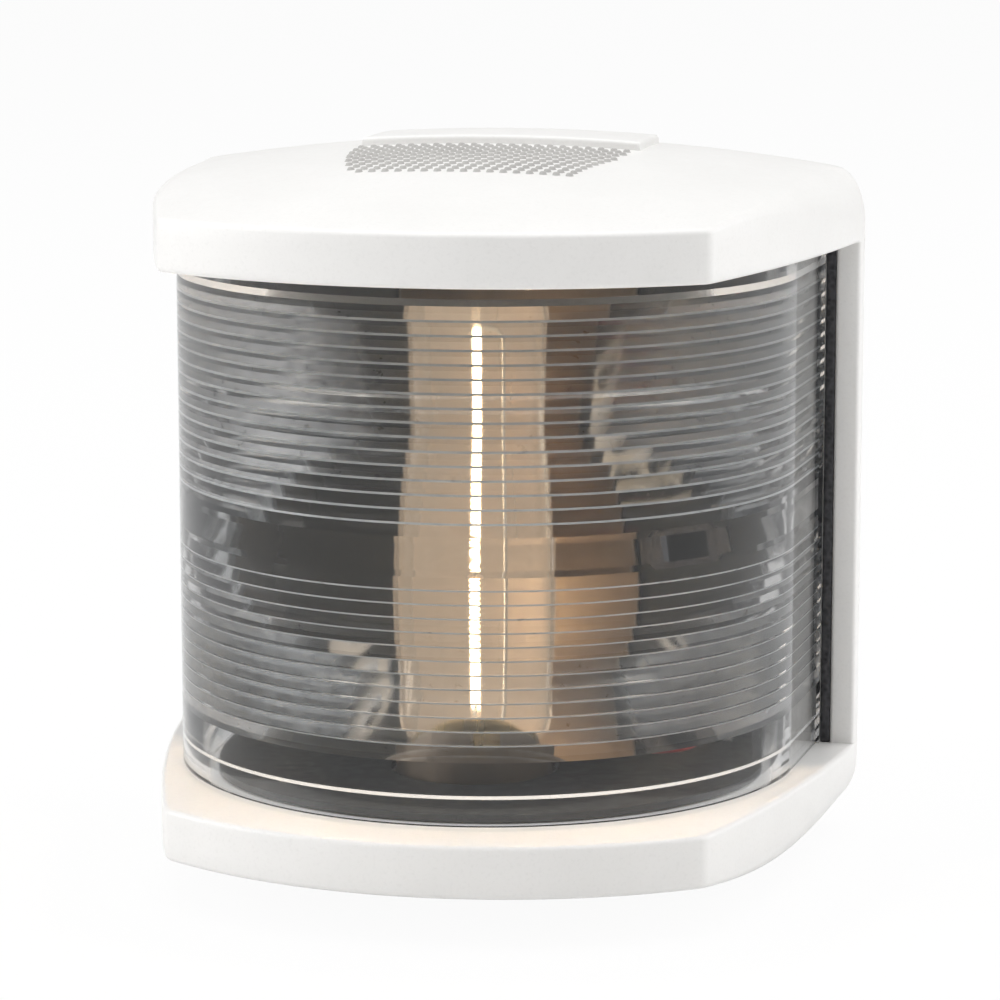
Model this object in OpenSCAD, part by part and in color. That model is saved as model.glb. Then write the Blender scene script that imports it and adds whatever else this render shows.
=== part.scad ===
// Navigation light: forward-lifting shroud with a half-round prism lens,
// back plate, bayonet lamp holder and double-contact lamp.
// Frame: origin on the mounting face, light to -Y, +Z up. Millimetres.

/* [Shroud] */
// half width of the front arc at its corners
front_half = 29; // [28:0.5:30]
// radius of the bowed sides in plan
side_r = 213; // [205:1:220]
// angle of the sides to the fore-and-aft line at the front corners
side_angle = 19.5; // [19:0.1:20]
// distance of the front corners from the mounting face
corner_depth = 53; // [52:0.5:54]
// how far the front arc bulges past the corners
front_sag = 9.45; // [9:0.1:10]
// height of the cap edge above the centre plane
band_out = 34.2; // [34:0.1:34.6]
// height of the lens opening above the centre plane
band_in = 28.6; // [28.4:0.1:28.8]
// radius of the crown on the cap and base
crown_r = 230; // [220:5:260]
// thickness of the shell walls
wall = 2.6; // [2.4:0.1:2.8]
// radius of the upright rear corners
rear_r = 7.3; // [6.5:0.1:8]

/* [Lens] */
// outer radius of the lens
lens_r = 34.4; // [34:0.1:34.5]
// distance of the lens centre from the mounting face
lens_y = 22; // [21.5:0.1:22.5]
// lens wall at the roots of the prism rings
lens_wall = 2.2; // [2:0.1:2.4]
// depth of the prism rings
prism_depth = 0.9; // [0.7:0.1:1.1]
// spacing of the prism rings
prism_pitch = 1.5; // [1.45:0.01:1.55]
// rings above the centre belt
rings_up = 16; // [14:1:16]
// rings below the centre belt
rings_down = 13; // [11:1:14]

/* [Back plate] */
// distance of each mounting hole from the centre line
mount_x = 21; // [20:0.5:21.5]
// height of the mounting holes above the centre plane
mount_z = 10; // [8:0.5:14]
// radius of the mounting holes
mount_hole_r = 2.2; // [2:0.05:2.4]
// radius of the cable bore in the grommet
cable_r = 3; // [2.5:0.1:3.2]

/* [Lamp] */
// distance of the lamp axis from the mounting face
lamp_y = 30.5; // [29.5:0.5:31.5]
// radius of the lamp cap
cap_r = 7.5; // [7.4:0.05:7.6]
// outer radius of the lamp glass
glass_r = 8.75; // [8.5:0.05:9]

/* [Hidden] */
$fn = 64;
eps = 0.02;
R1 = (front_half*front_half + front_sag*front_sag)/(2*front_sag);
yc = -(corner_depth + front_sag) + R1;
scx = front_half - side_r*cos(side_angle);
scy = -corner_depth + side_r*sin(side_angle);
rcx = scx + sqrt((side_r-rear_r)*(side_r-rear_r) - (rear_r+scy)*(rear_r+scy));
tan_y = scy - side_r*(rear_r+scy)/(side_r-rear_r);
rear_half = rcx + rear_r;
win_x = 36.7;
rec_x = 33.4;
crown_z = band_out - sqrt(crown_r*crown_r - R1*R1);
plate_h = 35.7;
plate_x = 33;
lens_flare = 4.8;

module plan(i=0) {
  intersection() {
    translate([0, yc]) circle(r=R1-i);
    translate([scx, scy]) circle(r=side_r-i, $fn=360);
    translate([-scx, scy]) circle(r=side_r-i, $fn=360);
    translate([-60, -80]) square([120, 80+tan_y+eps]);
  }
  translate([-rcx, tan_y]) square([2*rcx, -tan_y-i]);
  for (s=[-1,1]) translate([s*rcx, -rear_r]) circle(r=rear_r-i);
}
module dome(i=0) {
  intersection() {
    translate([0, yc, crown_z]) sphere(r=crown_r-i, $fn=96);
    translate([0, yc, -crown_z]) sphere(r=crown_r-i, $fn=96);
    linear_extrude(height=100, center=true) plan(i);
    rotate([90,0,0]) linear_extrude(height=200, center=true) roundbar(rear_half+0.5-i, 39.9-i, max(7-i, 1));
  }
}
module roundbar(hx, hz, r) {
  square([2*hx, 2*(hz-r)], center=true);
  square([2*(hx-r), 2*hz], center=true);
  for (sx=[-1,1], sz=[-1,1]) translate([sx*(hx-r), sz*(hz-r)]) circle(r=r);
}
module xzplate(hx, hz, r, y0, y1) {
  translate([0, y1, 0]) rotate([90,0,0]) linear_extrude(height=y1-y0) roundbar(hx, hz, r);
}
module ybore(x, z, r, y0, y1) {
  translate([x, y1, z]) rotate([90,0,0]) cylinder(r=r, h=y1-y0);
}

module lens_path(r) {
  translate([0, -lens_y]) {
    circle(r=r, $fn=128);
    for (s=[0,1]) mirror([s,0]) rotate(-lens_flare) square([r-0.02, lens_y]);
  }
}

module housing() color([0.93,0.92,0.9]) {
  difference() {
    union() {
      dome();
      // raised thumb pad at the back of the crown
      intersection() {
        translate([0, yc, crown_z+0.95]) sphere(r=crown_r, $fn=96);
        translate([-15.7, -16.5, 30]) cube([31.4, 13.2, 15]);
      }
    }
    // rear edge stands off the wall
    translate([-60, -0.4, -60]) cube([120, 10, 120]);
    // front opening
    translate([-60, -80, -band_in]) cube([120, 71, 2*band_in]);
    translate([-win_x, -10, -band_in]) cube([2*win_x, 5.95, 2*band_in]);
    // recess for the back plate
    xzplate(rec_x, 36, 4.5, -4.05, 5);
    // hollow cap and base
    for (s=[0,1]) mirror([0,0,s]) {
      intersection() {
        dome(wall);
        translate([-60, -80, band_in+wall]) cube([120, 75, 40]);
      }
      intersection() {
        dome(wall);
        translate([-rec_x, -6, band_in+wall]) cube([2*rec_x, 10, 40]);
      }
      // groove for the lens edge
      intersection() {
        translate([0, 0, band_in-1]) linear_extrude(height=2.05) difference() {
          lens_path(lens_r+0.05);
          lens_path(lens_r-2.05);
        }
        translate([-60, -80, 0]) cube([120, 71, 60]);
      }
    }
    // retaining screw hole and head recess
    translate([0, -8.5, -50]) cylinder(r=1.7, h=20);
    translate([0, -8.5, -50]) cylinder(r=3.1, h=12);
    // blind seat for the thread insert
    translate([0, -8.5, -34]) cylinder(r=2.25, h=5.1);
  }
  // boss for the thread insert
  difference() {
    translate([0, -8.5, -33.2]) cylinder(r=4, h=2.2);
    translate([0, -8.5, -34]) cylinder(r=2.25, h=6);
  }
}

belt_up = 2.0;
belt_dn = -2.2;
lens_in = lens_r - lens_wall;
lens_up = [for (i=[0:rings_up-1]) each [[lens_in-prism_depth, belt_up+i*prism_pitch], [lens_in-0.1, belt_up+(i+1)*prism_pitch-0.05]]];
lens_dn = [for (i=[0:rings_down-1]) each [[lens_in-prism_depth, belt_dn-i*prism_pitch], [lens_in-0.1, belt_dn-(i+1)*prism_pitch+0.05]]];
module lens_cut(r, z0, z1) {
  translate([0, 0, z0]) linear_extrude(height=z1-z0) lens_path(r);
}
module lens() color([0.82,0.88,0.92,0.35]) {
  difference() {
    lens_cut(lens_r, -29.6, 29.6);
    lens_cut(lens_in-0.7, -40, 40);
    lens_cut(lens_in-0.5, 26.6, 40);
    lens_cut(lens_in, -25.6, 26.6);
    lens_cut(lens_r-2, 28.5, 40);
    lens_cut(lens_r-2, -40, -28.5);
    // rear ends of the straight sides
    translate([-60, -9.4, -50]) cube([120, 80, 100]);
  }
  // prism rings on the half-round part
  translate([0, -lens_y, 0]) rotate([0,0,180+lens_flare]) rotate_extrude(angle=180-2*lens_flare, $fn=128)
    polygon(concat([[lens_in+0.4, belt_up+rings_up*prism_pitch-0.05]],
      [for (i=[2*rings_up-1:-1:0]) lens_up[i]], lens_dn,
      [[lens_in+0.4, belt_dn-rings_down*prism_pitch+0.05]]));
}
module side_seals() color([0.08,0.08,0.09]) {
  for (s=[-1,1]) translate([s*36.15-0.55, -8.9, -band_in]) cube([1.1, 4.8, 2*band_in]);
}
module screw_insert() color([0.78,0.62,0.3]) {
  translate([0, -8.5, -33.2]) difference() {
    cylinder(r=2.2, h=4.2);
    translate([0,0,-1]) cylinder(r=1.55, h=7);
  }
}
module retaining_screw() color([0.72,0.73,0.75]) {
  translate([0, -8.5, 0]) difference() {
    union() {
      translate([0,0,-38.5]) cylinder(r=1.5, h=8.9);
      translate([0,0,-39.5]) cylinder(r=2.8, h=1.1);
    }
    translate([-4, -0.4, -39.6]) cube([8, 0.8, 0.6]);
  }
}
module screw_washer() color([0.06,0.06,0.06]) {
  translate([0, -8.5, -38.4]) difference() {
    cylinder(r=2.8, h=0.4);
    translate([0,0,-1]) cylinder(r=1.6, h=3);
  }
}
module back_plate() color([0.9,0.89,0.87]) {
  difference() {
    xzplate(plate_x, plate_h, 4.2, -4, 0);
    // groove for the wall gasket
    difference() {
      xzplate(31.6, 34, 3, -1.6, 1);
      xzplate(28.8, 31.2, 2, -3, 2);
    }
    for (s=[-1,1]) ybore(s*mount_x, mount_z, mount_hole_r, -6, 1);
    ybore(20, -8, 4.45, -6, 1);
    ybore(20, -8, 6.05, -1.3, 1);
    for (s=[-1,1]) ybore(s*8, -24, 1.3, -6, -1.9);
  }
  // open-ended lug that the retaining screw clamps
  difference() {
    translate([-6, -12.5, -36.4+0.8]) cube([12, 8.6, 2]);
    translate([-1.8, -14, -40]) cube([3.6, 5.5, 10]);
    translate([0, -8.5, -40]) cylinder(r=1.8, h=10);
  }
}
module back_gasket() color([0.07,0.07,0.08]) {
  difference() {
    xzplate(31.55, 33.95, 2.95, -1.6, 0);
    xzplate(28.85, 31.25, 2.05, -3, 2);
  }
}
module cable_grommet() color([0.06,0.06,0.07]) {
  difference() {
    union() {
      ybore(20, -8, 6, -1.3, 0);
      ybore(20, -8, 4.4, -4.1, -1.2);
      ybore(20, -8, 5.6, -5.6, -4);
    }
    ybore(20, -8, cable_r, -8, 2);
  }
}
module liner_sheet() {
  intersection() {
    translate([0, -lens_y]) circle(r=30.4);
    translate([-40, -60]) square([80, 60-lens_y]);
  }
  translate([-30.4, -lens_y-eps]) square([60.8, lens_y-5+eps]);
}
module liner() color([0.05,0.05,0.06]) {
  difference() {
    union() {
      translate([-30.4, -5.2, -28.3]) cube([60.8, 1.2, 56.6]);
      for (s=[-1,1]) translate([s*29.9-0.5, -lens_y, -28.3]) cube([1, lens_y-4.5, 56.6]);
      // dark floor and ceiling
      translate([0, 0, -28.4]) linear_extrude(height=0.8) difference() {
        liner_sheet();
        translate([0, -lamp_y]) circle(r=9.2);
      }
      translate([0, 0, 27.6]) linear_extrude(height=0.8) liner_sheet();
    }
    for (s=[-1,1]) ybore(s*mount_x, mount_z, 4.4, -8, 0);
    ybore(20, -8, 5.8, -8, 0);
    for (s=[-1,1]) ybore(s*8, -24, 1.4, -8, 0);
  }
}
module lamp_bracket() color([0.8,0.66,0.36]) {
  difference() {
    union() {
      translate([-14, -6.4, -27]) cube([28, 1.2, 51]);
      translate([-12, -lamp_y, -20.2]) cube([24, lamp_y-5.2, 1.2]);
      translate([0, -lamp_y, -20.2]) cylinder(r=12, h=1.2);
    }
    translate([0, -lamp_y, -22]) cylinder(r=cap_r+1.15, h=5);
    for (s=[-1,1]) ybore(s*8, -24, 1.4, -9, 0);
  }
}
module bracket_screws() color([0.75,0.76,0.78]) {
  for (s=[-1,1]) difference() {
    union() {
      ybore(s*8, -24, 2.1, -7.7, -6.4);
      ybore(s*8, -24, 1.25, -6.5, -2);
    }
    translate([s*8-3, -8, -24.3]) cube([6, 0.9, 0.6]);
  }
}
module holder_shell() color([0.82,0.68,0.38]) {
  translate([0, -lamp_y, 0]) difference() {
    union() {
      translate([0,0,-28.2]) cylinder(r=cap_r+1.1, h=15.7);
      translate([0,0,-19]) cylinder(r=cap_r+2.7, h=1);
    }
    translate([0,0,-30]) cylinder(r=cap_r+0.2, h=30);
    // bayonet slots: an upright entry and a level run
    for (a=[0,180]) rotate([0,0,a]) {
      translate([-4.3, 5.5, -16.7]) cube([5.55, 5, 2.4]);
      translate([-4.3, 5.5, -16.5]) cube([2.95, 5, 10]);
    }
    for (s=[0,180]) rotate([0,0,s]) translate([5, 0, -24.6]) rotate([0,90,0]) cylinder(r=0.95, h=6);
  }
}
module holder_insulator() color([0.86,0.84,0.78]) {
  translate([0, -lamp_y, -28]) difference() {
    cylinder(r=cap_r+0.15, h=1.4);
    for (s=[-1,1]) translate([s*3.2, 0, -1]) cylinder(r=0.9, h=4);
  }
}
module contact_pins() color([0.85,0.7,0.35]) {
  for (s=[-1,1]) translate([s*3.2, -lamp_y, 0]) {
    translate([0,0,-27]) cylinder(r=0.85, h=4.2);
    translate([0,0,-22.9]) cylinder(r=1.7, h=1.25);
  }
}
module contact_springs() color([0.7,0.7,0.72]) {
  for (s=[-1,1], i=[0:4]) translate([s*3.2, -lamp_y, -26.35+0.8*i])
    rotate_extrude($fn=32) translate([1.2, 0]) circle(r=0.2, $fn=16);
}
module terminal_block() color([0.88,0.87,0.84]) {
  difference() {
    translate([14.4, -14, -27.5]) cube([12, 8.75, 11.5]);
    for (x=[17.5,23.3]) {
      translate([x, -9.6, -26.5]) cylinder(r=2.45, h=12);
      ybore(x, -24.6, 1, -16, -9.6);
    }
  }
}
module terminal_clamps() color([0.8,0.64,0.3]) {
  for (x=[17.5,23.3]) difference() {
    translate([x, -9.6, -26.5]) cylinder(r=2.4, h=8);
    ybore(x, -24.6, 1, -16, -9);
    translate([x, -9.6, -24.6]) cylinder(r=1.25, h=8);
  }
}
module terminal_screws() color([0.75,0.76,0.78]) {
  for (x=[17.5,23.3]) difference() {
    union() {
      translate([x, -9.6, -23.2]) cylinder(r=1.2, h=5);
      translate([x, -9.6, -18.45]) cylinder(r=2.1, h=1.7);
    }
    translate([x-3, -9.9, -17.4]) cube([6, 0.6, 2]);
  }
}
lead_r = 0.8;
lead_z = -24.6;
module bend(cx, cy, r, a0) {
  translate([cx, cy, lead_z]) rotate([0,0,a0]) rotate_extrude(angle=90, $fn=48) translate([r,0]) circle(r=lead_r, $fn=24);
}
module runy(x, y0, y1) { translate([x, y1, lead_z]) rotate([90,0,0]) cylinder(r=lead_r, h=y1-y0, $fn=24); }
module runx(y, x0, x1) { translate([x0, y, lead_z]) rotate([0,90,0]) cylinder(r=lead_r, h=x1-x0, $fn=24); }
module lead_red() color([0.75,0.08,0.06]) {
  runy(23.3, -(lamp_y-4), -10.2);
  bend(19.3, -(lamp_y-4), 4, -90);
  runx(-lamp_y, 6, 19.3);
}
module lead_black() color([0.06,0.06,0.06]) {
  runy(17.5, -14.5, -10.2);
  bend(14.5, -14.5, 3, -90);
  runx(-17.5, -11, 14.5);
  bend(-11, -20.5, 3, 90);
  runy(-14, -(lamp_y-3), -20.5);
  bend(-11, -(lamp_y-3), 3, 180);
  runx(-lamp_y, -11, -6);
}
module bulb_form(i) {
  translate([0,0,-13]) cylinder(r=6.9-i, h=2.2);
  translate([0,0,-10.9]) cylinder(r1=6.9-i, r2=glass_r-i, h=2.4);
  translate([0,0,-8.55]) cylinder(r=glass_r-i, h=19.6);
  translate([0,0,11]) sphere(r=glass_r-i);
}
module bulb_glass() color([0.9,0.93,0.95,0.3]) {
  translate([0, -lamp_y, 0]) difference() {
    bulb_form(0);
    bulb_form(0.7);
    translate([0,0,-14]) cylinder(r=6.2, h=3);
  }
}
module bulb_cap() color([0.82,0.7,0.42]) {
  translate([0, -lamp_y, -21]) difference() {
    cylinder(r=cap_r, h=10);
    translate([0,0,-1]) cylinder(r=cap_r-0.45, h=12);
  }
}
module bulb_pins() color([0.82,0.7,0.42]) {
  translate([0, -lamp_y, -15.5]) for (a=[90,270]) rotate([0,0,a]) translate([cap_r+0.01,0,0]) rotate([0,90,0]) cylinder(r=1, h=1.6);
}
module bulb_insulator() color([0.1,0.09,0.09]) {
  translate([0, -lamp_y, -21.2]) cylinder(r=cap_r-0.47, h=1.6);
}
module bulb_contacts() color([0.75,0.75,0.74]) {
  for (s=[-1,1]) translate([s*3.2, -lamp_y, -21.6]) cylinder(r=1.5, h=0.4);
}
module bulb_stem() color([0.85,0.9,0.92,0.5]) {
  translate([0, -lamp_y, 0]) {
    translate([0,0,-12.5]) cylinder(r1=4.6, r2=1.4, h=3.6);
    translate([0,0,-8.9]) sphere(r=1.39);
  }
}
module bulb_wires() color([0.6,0.6,0.62]) {
  translate([0, -lamp_y, 0]) {
    translate([0,0,-7.9]) cylinder(r=0.22, h=0.95, $fn=24);
    translate([3.4,0,-11]) cylinder(r=0.22, h=19.3, $fn=24);
    translate([0,0,8.1]) rotate([0,90,0]) cylinder(r=0.22, h=3.4, $fn=24);
  }
}
module bulb_filament() color([0.9,0.6,0.25]) {
  translate([0, -lamp_y, -6.93]) cylinder(r=0.32, h=14.8, $fn=24);
}

housing();
lens();
side_seals();
screw_insert();
retaining_screw();
screw_washer();
back_plate();
back_gasket();
cable_grommet();
liner();
lamp_bracket();
bracket_screws();
holder_shell();
holder_insulator();
contact_pins();
contact_springs();
terminal_block();
terminal_clamps();
terminal_screws();
lead_red();
lead_black();
bulb_glass();
bulb_cap();
bulb_pins();
bulb_insulator();
bulb_contacts();
bulb_stem();
bulb_wires();
bulb_filament();
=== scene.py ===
import bpy, bmesh, math, random
from mathutils import Vector, Matrix


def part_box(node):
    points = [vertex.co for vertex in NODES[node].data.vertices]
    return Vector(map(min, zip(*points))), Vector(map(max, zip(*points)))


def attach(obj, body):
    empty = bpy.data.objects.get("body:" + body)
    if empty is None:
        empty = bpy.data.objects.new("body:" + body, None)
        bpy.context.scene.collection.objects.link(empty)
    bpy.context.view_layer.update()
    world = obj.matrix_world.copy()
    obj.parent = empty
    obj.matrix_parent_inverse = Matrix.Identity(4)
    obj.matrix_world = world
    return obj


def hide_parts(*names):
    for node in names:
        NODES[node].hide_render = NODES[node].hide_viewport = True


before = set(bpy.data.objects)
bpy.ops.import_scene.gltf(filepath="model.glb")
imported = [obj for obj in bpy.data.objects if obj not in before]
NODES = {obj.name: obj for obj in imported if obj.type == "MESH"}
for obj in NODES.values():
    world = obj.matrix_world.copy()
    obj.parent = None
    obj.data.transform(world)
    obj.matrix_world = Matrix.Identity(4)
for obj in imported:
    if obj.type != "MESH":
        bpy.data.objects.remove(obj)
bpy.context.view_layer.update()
MM = 0.001
rng = random.Random(7)
scene = bpy.context.scene

# ------------------------------------------------------------------ measures
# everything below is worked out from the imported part, in millimetres


def box_mm(n):
    lo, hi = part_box(n)
    return [c / MM for c in lo], [c / MM for c in hi]


H_LO, H_HI = box_mm("housing")
L_LO, L_HI = box_mm("lens")
REAR_HALF = H_HI[0]
FRONT_Y = H_LO[1]
BACK_Y = H_HI[1]
SAG = 9.45
CORNER_Y = FRONT_Y + SAG
FRONT_HALF = 29.0
R1 = (FRONT_HALF ** 2 + SAG ** 2) / (2 * SAG)
YC = FRONT_Y + R1
REAR_R = 7.3
SIDE_R, SIDE_A = 213.0, math.radians(19.5)
SCX, SCY = FRONT_HALF - SIDE_R * math.cos(SIDE_A), CORNER_Y + SIDE_R * math.sin(SIDE_A)
RCX = SCX + math.sqrt((SIDE_R - REAR_R) ** 2 - (REAR_R + SCY) ** 2)
TAN_A = -math.asin((REAR_R + SCY) / (SIDE_R - REAR_R))
REC_X, WIN_X = 33.4, 36.7
CROWN_R = 230.0
BAND = 34.2
IN = 28.6
CROWN_Z = BAND - math.sqrt(CROWN_R ** 2 - R1 ** 2)
LENS_R = 34.4
FLARE = math.radians(4.8)
LENS_Y = L_LO[1] + LENS_R
LENS_BACK = L_HI[1]
G_LO, G_HI = box_mm("bulb_glass")
LAMP_Y = (G_LO[1] + G_HI[1]) / 2
S_LO, S_HI = box_mm("retaining_screw")
SCREW_Y = (S_LO[1] + S_HI[1]) / 2


def dome(x, y, i=0.0):
    r2 = x * x + (y - YC) ** 2
    return CROWN_Z + math.sqrt(max((CROWN_R - i) ** 2 - r2, 0.0))


def lerp(a, b, t):
    return a + (b - a) * t


def smooth(t):
    t = max(0.0, min(1.0, t))
    return t * t * (3 - 2 * t)


def outline(inset=0.0, corner=0.7, fine=1.0):
    """Plan outline, anticlockwise from the back centre, as (x, y, nx, ny), n the outward normal."""
    r1, r2, rr = R1 - inset, SIDE_R - inset, REAR_R - inset
    back = BACK_Y
    # corner between the front arc and the side arc
    x0, y0 = SCX, SCY
    d = math.hypot(x0, YC - y0)
    a = (r2 ** 2 - r1 ** 2 + d * d) / (2 * d)
    h = math.sqrt(max(r2 * r2 - a * a, 0))
    ux, uy = (0 - x0) / d, (YC - y0) / d
    p1 = (x0 + a * ux + h * uy, y0 + a * uy - h * ux)
    p2 = (x0 + a * ux - h * uy, y0 + a * uy + h * ux)
    K = p1 if p1[1] < p2[1] else p2
    half = []
    # right half: from the front centre to the back centre
    a_end = math.atan2(K[1] - YC, K[0])
    n = int(40 * fine)
    cut = corner / r1
    for i in range(n + 1):
        t = lerp(-math.pi / 2, a_end - cut, i / n)
        half.append((r1 * math.cos(t), YC + r1 * math.sin(t), math.cos(t), math.sin(t)))
    s0 = math.atan2(K[1] - y0, K[0] - x0)
    A = half[-1]
    t = s0 + corner / r2
    B = (x0 + r2 * math.cos(t), y0 + r2 * math.sin(t), math.cos(t), math.sin(t))
    for i in range(1, 8):
        u = i / 8
        x = (1 - u) ** 2 * A[0] + 2 * u * (1 - u) * K[0] + u * u * B[0]
        y = (1 - u) ** 2 * A[1] + 2 * u * (1 - u) * K[1] + u * u * B[1]
        nx, ny = lerp(A[2], B[2], u), lerp(A[3], B[3], u)
        l = math.hypot(nx, ny)
        half.append((x, y, nx / l, ny / l))
    n = int(44 * fine)
    for i in range(n + 1):
        tt = lerp(t, TAN_A, i / n)
        half.append((x0 + r2 * math.cos(tt), y0 + r2 * math.sin(tt), math.cos(tt), math.sin(tt)))
    n = int(14 * fine)
    ccx, ccy = RCX, -REAR_R
    a1 = math.asin(max(-1, min(1, (back - ccy) / rr))) if rr > back - ccy else math.pi / 2
    for i in range(1, n + 1):
        tt = lerp(TAN_A, a1, i / n)
        half.append((ccx + rr * math.cos(tt), ccy + rr * math.sin(tt), math.cos(tt), math.sin(tt)))
    xe = half[-1][0]
    if half[-1][1] < back - 1e-6 and rr <= back - ccy:
        back = half[-1][1]
    n = int(24 * fine)
    for i in range(1, n):
        half.append((lerp(xe, 0, i / n), half[-1][1] if i > 1 else half[-1][1], 0.0, 1.0))
    half.append((0.0, half[-1][1], 0.0, 1.0))
    left = [(-x, y, -nx, ny) for x, y, nx, ny in half[1:-1]]
    return half + left[::-1]


# ------------------------------------------------------------------ mesh helpers
def new_obj(name, verts, faces, mats=None, sharp=35.0, smooth_on=True):
    me = bpy.data.meshes.new(name)
    me.from_pydata([(x * MM, y * MM, z * MM) for x, y, z in verts], [], faces)
    me.validate()
    bm = bmesh.new()
    bm.from_mesh(me)
    bmesh.ops.remove_doubles(bm, verts=bm.verts, dist=1e-7)
    bmesh.ops.recalc_face_normals(bm, faces=bm.faces)
    bm.to_mesh(me)
    bm.free()
    o = bpy.data.objects.new(name, me)
    scene.collection.objects.link(o)
    shade(o, sharp, smooth_on)
    if mats:
        for m in (mats if isinstance(mats, (list, tuple)) else [mats]):
            me.materials.append(m)
    return o


def shade(o, sharp=35.0, smooth_on=True):
    me = o.data
    for p in me.polygons:
        p.use_smooth = smooth_on
    if smooth_on:
        me.set_sharp_from_angle(angle=math.radians(sharp))


def rings_to_mesh(rings, closed_ring=True, cap_start=False, cap_end=False, closed_loop=False):
    verts, faces = [], []
    n = len(rings[0])
    for r in rings:
        verts += r
    m = len(rings)
    for j in range(m if closed_loop else m - 1):
        a, b = j * n, ((j + 1) % m) * n
        for i in range(n if closed_ring else n - 1):
            k = (i + 1) % n
            faces.append((a + i, a + k, b + k, b + i))
    if cap_start:
        faces.append(tuple(range(n))[::-1])
    if cap_end:
        faces.append(tuple(range((m - 1) * n, m * n)))
    return verts, faces


def revolve(name, prof, mats, cx=0.0, cy=0.0, segs=96, sharp=32.0, a0=0.0, a1=360.0, closed=False, z0=0.0):
    """prof: list of (r, z). Revolved about +Z through (cx, cy)."""
    full = abs(a1 - a0 - 360) < 1e-6
    n = segs if full else segs + 1
    rings = []
    for i in range(n):
        t = math.radians(lerp(a0, a1, i / segs))
        rings.append([(cx + r * math.cos(t), cy + r * math.sin(t), z + z0) for r, z in prof])
    verts, faces = rings_to_mesh(rings, closed_ring=closed, closed_loop=full)
    o = new_obj(name, verts, faces, mats, sharp)
    return o


def arc(cx, cz, r, a0, a1, n):
    return [(cx + r * math.cos(math.radians(lerp(a0, a1, i / n))), cz + r * math.sin(math.radians(lerp(a0, a1, i / n)))) for i in range(n + 1)]


def round_prof(pts, r=0.2, n=3):
    """Rounds the corners of an open (r, z) polyline."""
    out = [pts[0]]
    for i in range(1, len(pts) - 1):
        a, b, c = Vector(pts[i - 1]), Vector(pts[i]), Vector(pts[i + 1])
        la, lc = (a - b).length, (c - b).length
        k = min(r, la * 0.45, lc * 0.45)
        p, q = b + (a - b).normalized() * k, b + (c - b).normalized() * k
        for j in range(n + 1):
            u = j / n
            v = p * (1 - u) ** 2 + b * 2 * u * (1 - u) + q * u * u
            out.append((v.x, v.y))
    out.append(pts[-1])
    return out


def bevel_box(name, lo, hi, mats, r=0.4, segs=3):
    bm = bmesh.new()
    bmesh.ops.create_cube(bm, size=1.0)
    for v in bm.verts:
        v.co = Vector([(lo[i] + hi[i]) / 2 + v.co[i] * (hi[i] - lo[i]) for i in range(3)]) * MM
    bmesh.ops.bevel(bm, geom=bm.edges[:], offset=r * MM, segments=segs, profile=0.5, affect="EDGES", clamp_overlap=True)
    me = bpy.data.meshes.new(name)
    bm.to_mesh(me)
    bm.free()
    o = bpy.data.objects.new(name, me)
    scene.collection.objects.link(o)
    me.materials.append(mats)
    shade(o, 50)
    return o


def tube(name, pts, r, mats, segs=20, cap=True):
    """A swept round tube through pts (mm)."""
    pts = [Vector(p) for p in pts]
    rings = []
    up = Vector((0, 0, 1))
    prev = None
    for i, p in enumerate(pts):
        d = (pts[min(i + 1, len(pts) - 1)] - pts[max(i - 1, 0)]).normalized()
        if prev is None:
            ref = up if abs(d.dot(up)) < 0.9 else Vector((1, 0, 0))
            u = d.cross(ref).normalized()
        else:
            u = (prev - d * prev.dot(d)).normalized()
        prev = u
        v = d.cross(u)
        rings.append([tuple(p + (u * math.cos(2 * math.pi * k / segs) + v * math.sin(2 * math.pi * k / segs)) * r) for k in range(segs)])
    verts, faces = rings_to_mesh(rings, cap_start=cap, cap_end=cap)
    return new_obj(name, verts, faces, mats, 50)


def join(objs, name):
    bpy.ops.object.select_all(action="DESELECT")
    for o in objs:
        o.select_set(True)
    bpy.context.view_layer.objects.active = objs[0]
    bpy.ops.object.join()
    o = bpy.context.view_layer.objects.active
    o.name = name
    o.data.name = name
    return o


def boolean(o, cutters, op="DIFFERENCE"):
    for c in cutters:
        m = o.modifiers.new("b", "BOOLEAN")
        m.operation = op
        m.solver = "EXACT"
        m.object = c
    dg = bpy.context.evaluated_depsgraph_get()
    me = bpy.data.meshes.new_from_object(o.evaluated_get(dg))
    o.modifiers.clear()
    old = o.data
    o.data = me
    me.name = o.name
    bpy.data.meshes.remove(old)
    for c in cutters:
        bpy.data.objects.remove(c)
    return o


# ------------------------------------------------------------------ materials
def mat_new(name):
    m = bpy.data.materials.new(name)
    m.use_nodes = True
    nt = m.node_tree
    nt.nodes.clear()
    out = nt.nodes.new("ShaderNodeOutputMaterial")
    return m, nt, out


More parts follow.
